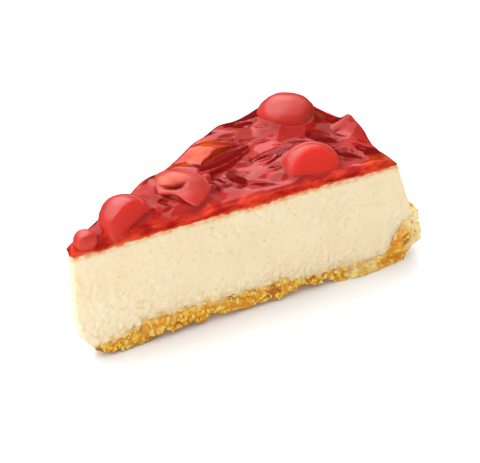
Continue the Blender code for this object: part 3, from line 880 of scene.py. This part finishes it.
class Look:
    """A material and short ways to add nodes to it."""

    def __init__(self, name):
        self.material = bpy.data.materials.new(name)
        self.material.use_nodes = True
        self.tree = self.material.node_tree
        self.shader = self.tree.nodes["Principled BSDF"]
        self.place = self.add("ShaderNodeTexCoord").outputs["Object"]

    def add(self, kind, **values):
        node = self.tree.nodes.new(kind)
        for name, value in values.items():
            setattr(node, name, value)
        return node

    def feed(self, socket, value):
        if isinstance(value, bpy.types.NodeSocket):
            self.tree.links.new(value, socket)
        else:
            socket.default_value = value

    def set(self, **values):
        """Set the shader's sockets; an underscore stands for a blank."""
        for name, value in values.items():
            self.feed(self.shader.inputs[name.replace("_", " ")], value)

    def noise(self, size, detail=3.0, sharp=0.5, stretch=(1, 1, 1)):
        """Cloudy pattern with spots of that size in millimetres."""
        scale = self.add("ShaderNodeVectorMath", operation="MULTIPLY")
        self.feed(scale.inputs[0], self.place)
        self.feed(scale.inputs[1], tuple(1000.0 / size * s for s in stretch))
        node = self.add("ShaderNodeTexNoise")
        self.feed(node.inputs["Vector"], scale.outputs[0])
        self.feed(node.inputs["Scale"], 1.0)
        self.feed(node.inputs["Detail"], detail)
        self.feed(node.inputs["Roughness"], sharp)
        return node.outputs["Fac"]

    def spots(self, size):
        """Distance to the nearest of many scattered points."""
        scale = self.add("ShaderNodeVectorMath", operation="SCALE")
        self.feed(scale.inputs[0], self.place)
        self.feed(scale.inputs["Scale"], 1000.0 / size)
        node = self.add("ShaderNodeTexVoronoi")
        self.feed(node.inputs["Vector"], scale.outputs[0])
        self.feed(node.inputs["Scale"], 1.0)
        return node.outputs["Distance"]

    def painted(self, name):
        """A number kept on the mesh's points."""
        return self.add("ShaderNodeAttribute", attribute_name=name).outputs["Fac"]

    def fit(self, value, low, high, to_low=0.0, to_high=1.0):
        """Stretch a value from one range to another, without going past its ends."""
        node = self.add("ShaderNodeMapRange")
        for socket, number in zip(node.inputs, (value, low, high, to_low, to_high)):
            self.feed(socket, number)
        return node.outputs[0]

    def sum(self, first, second, operation="ADD"):
        node = self.add("ShaderNodeMath", operation=operation)
        self.feed(node.inputs[0], first)
        self.feed(node.inputs[1], second)
        return node.outputs[0]

    def times(self, first, second):
        return self.sum(first, second, "MULTIPLY")

    def mix(self, share, first, second):
        """Colour that goes from the first to the second."""
        node = self.add("ShaderNodeMix", data_type="RGBA")
        self.feed(node.inputs[0], share)
        for socket, colour in ((node.inputs[6], first), (node.inputs[7], second)):
            self.feed(socket, (*colour, 1.0) if isinstance(colour, tuple) else colour)
        return node.outputs[2]

    def bump(self, height, depth, strength=1.0):
        """Normal from a height pattern whose full range is depth millimetres."""
        node = self.add("ShaderNodeBump")
        self.feed(node.inputs["Height"], height)
        self.feed(node.inputs["Distance"], depth * MM)
        self.feed(node.inputs["Strength"], strength)
        self.set(Normal=node.outputs[0])


def filling_look():
    """Cream with painted yellowish shade in small pores and a crumbly, yellower foot."""
    look = Look("baked_cream")
    cloud = look.noise(14.0, 2.0)
    fine = look.noise(1.1, 4.0, 0.6)
    colour = look.mix(look.fit(cloud, 0.35, 0.65), CREAM, CREAM_SHADE)
    dots = look.fit(look.spots(2.6), 0.10, 0.24, 1.0, 0.0)
    where = look.fit(look.noise(9.0, 1.0), 0.45, 0.62)
    # Painted shade: pores and scattered dots are painted a darker yellow, standing in for shade in
    # the pits
    pore_shade = look.sum(look.painted("pore_shade"), look.times(dots, where), "MAXIMUM")
    colour = look.mix(look.times(pore_shade, 0.85), colour, CREAM_PORE_SHADE)
    light = look.fit(fine, 0.55, 0.75)
    colour = look.mix(look.times(light, 0.5), colour, CREAM_GRAIN)
    foot = look.fit(look.painted("rise"), 0.0, 0.10, 1.0, 0.0)
    crumbly = look.times(foot, look.fit(look.noise(2.4, 3.0), 0.38, 0.6))
    colour = look.mix(look.times(crumbly, 0.8), colour, CREAM_FOOT)
    head = look.fit(look.painted("rise"), 0.935, 0.975)
    bleed = look.times(head, look.fit(look.noise(2.2, 3.0), 0.3, 0.6))
    colour = look.mix(bleed, colour, CREAM_STAIN)
    look.set(Base_Color=colour, Roughness=0.55, Subsurface_Weight=0.35,
             Subsurface_Radius=(1.0, 0.7, 0.4), Subsurface_Scale=0.0025)
    look.shader.inputs["Specular IOR Level"].default_value = 0.35
    look.bump(look.sum(fine, look.noise(0.45, 2.0)), 0.22, 0.8)
    return look.material


def crust_look():
    """Golden baked crumb, with painted shade in the gaps between its grains and in deeper holes,
    so that their tops stay paler.
    """
    look = Look("baked_crumb")
    coarse = look.noise(3.2, 3.0, 0.6)
    fine = look.noise(0.8, 3.0, 0.6)
    patch = look.noise(9.0, 2.0)
    colour = look.mix(look.fit(coarse, 0.36, 0.62), CRUST_AMBER, CRUST_GOLD)
    colour = look.mix(look.fit(patch, 0.44, 0.62), colour, CRUST_PATCH)
    grain = look.fit(fine, 0.56, 0.72)
    colour = look.mix(look.times(grain, 0.35), colour, CRUST_GRAIN)
    # Painted shade: the gaps between the grains and some deeper holes are painted dark brown
    gap_shade = look.fit(look.painted("gap_shade"), 0.38, 0.62)
    colour = look.mix(look.times(gap_shade, 0.75), colour, CRUST_GAP_SHADE)
    deep_shade = look.times(gap_shade, look.fit(look.noise(6.0, 2.0), 0.50, 0.60))
    colour = look.mix(look.times(deep_shade, 0.75), colour, CRUST_HOLE_SHADE)
    rim = look.fit(look.times(look.painted("rim"), patch), 0.15, 0.40)
    rim = look.times(rim, look.fit(coarse, 0.33, 0.55, 0.5, 1.0))
    colour = look.mix(rim, colour, CRUST_RIM)
    seam = look.times(look.painted("seam"), look.fit(fine, 0.3, 0.55, 0.4, 0.9))
    colour = look.mix(seam, colour, CRUST_BROWN)
    top = look.fit(look.painted("rise"), 0.68, 0.95)
    cream = look.times(top, look.fit(look.noise(2.0, 3.0), 0.4, 0.6))
    colour = look.mix(look.times(cream, 0.9), colour, CRUST_CREAM)
    look.set(Base_Color=colour, Roughness=0.8, Subsurface_Weight=0.25,
             Subsurface_Radius=(1.0, 0.8, 0.4), Subsurface_Scale=0.001)
    look.bump(look.sum(fine, look.noise(0.35, 2.0)), 0.3)
    return look.material


def crumb_look():
    """Single crumbs, from dark toast to pale biscuit."""
    look = Look("loose_crumb")
    tone = look.painted("tone")
    colour = look.mix(look.fit(tone, 0.0, 0.45), CRUMB_TOAST, CRUMB_GOLD)
    colour = look.mix(look.fit(tone, 0.45, 1.0), colour, CRUMB_PALE)
    look.set(Base_Color=colour, Roughness=0.75, Subsurface_Weight=0.1,
             Subsurface_Radius=(1.0, 0.8, 0.4), Subsurface_Scale=0.0005)
    look.bump(look.noise(0.4, 2.0), 0.2)
    return look.material


def gel_look():
    """Clear red gel: bright at its thin edges, darker crimson in cloudy patches, with painted
    shade on slopes that turn away to the far side and a painted orange glow where light comes
    through.
    """
    look = Look("red_gel")
    cloud = look.noise(5.0, 3.0, 0.5, (0.5, 1, 1))
    fine = look.noise(1.8, 3.0, 0.6, (0.5, 1, 1))
    colour = look.mix(look.fit(cloud, 0.38, 0.62), GEL_RED, GEL_DEEP)
    # Painted shade: slopes that turn away to the far side are painted dark crimson
    colour = look.mix(look.painted("lean"), colour, GEL_LEAN_SHADE)
    streak = look.fit(look.noise(3.0, 3.0, 0.6, (0.35, 1, 1)), 0.35, 0.6)
    band = look.mix(streak, GEL_EDGE, GEL_EDGE_DEEP)
    colour = look.mix(look.painted("edge"), colour, band)
    # Painted light: an orange glow where light comes through the gel
    glow = look.times(look.painted("glow"), look.fit(cloud, 0.30, 0.60))
    glow = look.times(glow, look.fit(fine, 0.3, 0.6, 0.4, 1.0))
    colour = look.mix(glow, colour, GEL_ORANGE)
    colour = look.mix(look.painted("foot"), colour, GEL_FOOT)
    look.set(Base_Color=colour, Roughness=0.03, IOR=1.45, Subsurface_Weight=0.2,
             Subsurface_Radius=(1.0, 0.15, 0.08), Subsurface_Scale=0.0015)
    look.shader.inputs["Specular IOR Level"].default_value = 0.6
    look.shader.inputs["Specular Tint"].default_value = (1.0, 0.50, 0.48, 1.0)
    look.bump(look.noise(1.6, 2.0, 0.5, (0.6, 1, 1)), 0.02)
    return look.material


def cherry_look():
    """Cooked cherry under a coat of gel, with a painted orange glow where the light comes through,
    a painted brighter underside, painted shade in the middle cherry's hole and painted highlight
    lines.
    """
    look = Look("coated_cherry")
    cloud = look.noise(6.0, 2.0)
    colour = look.mix(look.fit(cloud, 0.35, 0.65), CHERRY_RED, CHERRY_SHADE)
    # Painted light: the lower part is painted a brighter red
    colour = look.mix(look.painted("low"), colour, CHERRY_UNDERSIDE_LIGHT)
    glow = look.times(look.painted("glow"), look.fit(look.noise(3.0, 2.0), 0.4, 0.6))
    colour = look.mix(glow, colour, CHERRY_ORANGE)
    colour = look.mix(look.painted("cut"), colour, CHERRY_CUT)
    # Painted shade: the hole and hollow are painted dark red
    colour = look.mix(look.painted("hole"), colour, CHERRY_HOLE_SHADE)
    # Painted highlight: thin pale lines along the lip and beside the outline
    colour = look.mix(look.times(look.painted("highlight"), 0.5), colour, CHERRY_HIGHLIGHT)
    rough_skin = look.fit(look.painted("cut"), 0.0, 1.0, 0.42, 0.5)
    look.set(Base_Color=colour, Roughness=rough_skin, IOR=1.45, Subsurface_Weight=0.6,
             Subsurface_Radius=(1.0, 0.15, 0.08), Subsurface_Scale=0.004)
    look.set(Coat_Weight=look.fit(look.painted("cut"), 0.0, 1.0, 0.4, 0.05))
    look.shader.inputs["Coat Roughness"].default_value = 0.28
    look.shader.inputs["Specular IOR Level"].default_value = 0.5
    look.bump(look.noise(2.4, 2.0), 0.04)
    return look.material


# Stage: a pale floor, soft light and the camera

def softbox(name, turn, rise, distance, width, height, radiance, mirrored):
    """An area light that looks at the slice and shines evenly from its whole face."""
    lamp = bpy.data.lights.new(name, "AREA")
    lamp.shape = "RECTANGLE"
    lamp.size = width
    lamp.size_y = height
    lamp.energy = radiance * math.pi * width * height
    thing = bpy.data.objects.new(name, lamp)
    way = way_of(turn, rise)
    thing.location = way * distance
    thing.rotation_euler = way.to_track_quat("Z", "Y").to_euler()
    thing.visible_glossy = mirrored
    bpy.context.scene.collection.objects.link(thing)


def make_stage():
    """Floor, lights, world and view."""
    half, low = FLOOR_HALF, FLOOR_LEVEL
    floor = bpy.data.meshes.new("floor")
    floor.from_pydata([(-half, -half, low), (half, -half, low), (half, half, low),
                       (-half, half, low)], [], [(0, 1, 2, 3)])
    floor = bpy.data.objects.new("floor", floor)
    bpy.context.scene.collection.objects.link(floor)
    white = Look("floor")
    white.set(Base_Color=FLOOR_WHITE, Roughness=0.9)
    floor.data.materials.append(white.material)
    floor.visible_glossy = False
    for light in LIGHTS:
        softbox(*light)
    world = bpy.data.worlds.new("studio")
    bpy.context.scene.world = world
    world.use_nodes = True
    back = world.node_tree.nodes["Background"]
    path = world.node_tree.nodes.new("ShaderNodeLightPath")
    fit = world.node_tree.nodes.new("ShaderNodeMapRange")
    world.node_tree.links.new(path.outputs["Is Glossy Ray"], fit.inputs[0])
    fit.inputs[3].default_value = WORLD_LIGHT
    fit.inputs[4].default_value = WORLD_MIRRORED
    world.node_tree.links.new(fit.outputs[0], back.inputs["Strength"])
    back.inputs["Color"].default_value = (1, 1, 1, 1)
    bpy.context.scene.view_settings.view_transform = "Standard"


def make_camera():
    """The photo's view."""
    toward = Vector((math.sin(CAMERA_TURN) * math.cos(CAMERA_RISE),
                     -math.cos(CAMERA_TURN) * math.cos(CAMERA_RISE), math.sin(CAMERA_RISE)))
    right = Vector((math.cos(CAMERA_TURN), math.sin(CAMERA_TURN), 0.0))
    up = toward.cross(right)
    target = Vector((CAMERA_TARGET_X, 0, 0)) + right * CAMERA_TARGET_RIGHT + up * CAMERA_TARGET_UP
    camera = bpy.data.objects.new("camera", bpy.data.cameras.new("camera"))
    camera.data.sensor_width = SENSOR_WIDTH
    camera.data.lens = SENSOR_WIDTH * FOCAL_LENGTH_PX / PHOTO_WIDTH_PX
    camera.data.clip_start = 0.01
    camera.location = target + toward * CAMERA_DISTANCE
    camera.rotation_euler = toward.to_track_quat("Z", "Y").to_euler()
    bpy.context.scene.collection.objects.link(camera)
    bpy.context.scene.camera = camera


def dress(thing, material, slot, *nodes):
    """Give a piece its material and its place in the model."""
    thing.data.materials.append(material)
    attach(thing, "root")
    if nodes:
        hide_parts(*nodes)


make_camera()
make_stage()
dress(make_crust(), crust_look(), "crust", "crust")
dress(make_filling(), filling_look(), "filling", "filling")
dress(make_glaze(), gel_look(), "glaze", "glaze")
skin = cherry_look()
for cherry in CHERRIES:
    dress(make_cherry(cherry), skin, "cherry", cherry[0])
dress(make_crumbs(), crumb_look(), "crust")
